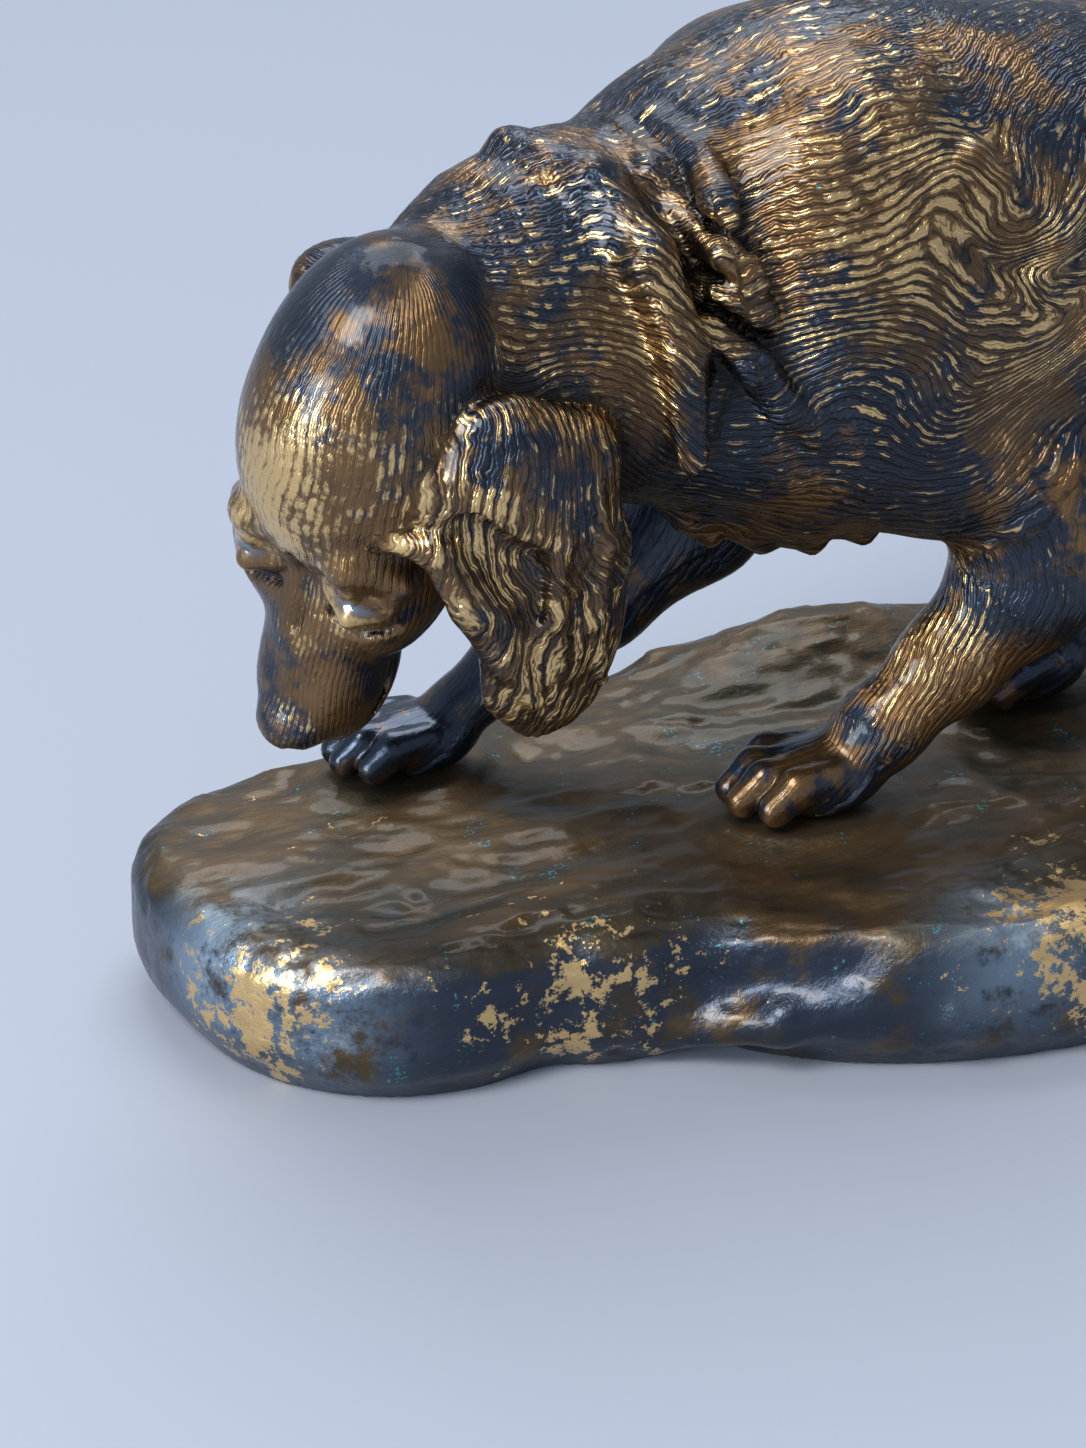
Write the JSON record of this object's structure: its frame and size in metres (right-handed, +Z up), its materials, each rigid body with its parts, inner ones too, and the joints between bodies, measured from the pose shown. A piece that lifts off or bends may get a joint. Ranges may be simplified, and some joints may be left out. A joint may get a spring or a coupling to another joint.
{
  "type": "animal sculpture",
  "caption": "Cast bronze spaniel walking with its nose lowered to a scent, on a rounded naturalistic ground base, dark patina with rubbed gold.",
  "frame": {"origin": "middle of the flat underside of the ground base", "axes": "+Z up, -X the way the dog faces along the length of the base, -Y the dog's left side"},
  "size_m": [0.343, 0.1538, 0.1967],
  "materials": {
    "dog_bronze": "bronze patina, dark brown to blue-black with gold rubbed on the raised hair, semi gloss",
    "ground_bronze": "bronze patina, blue-black and brown with worn gold flakes, semi gloss"
  },
  "bodies": {
    "root": {"spaniel": "dog_bronze", "terrain_base": "ground_bronze"}
  },
  "joints": []
}
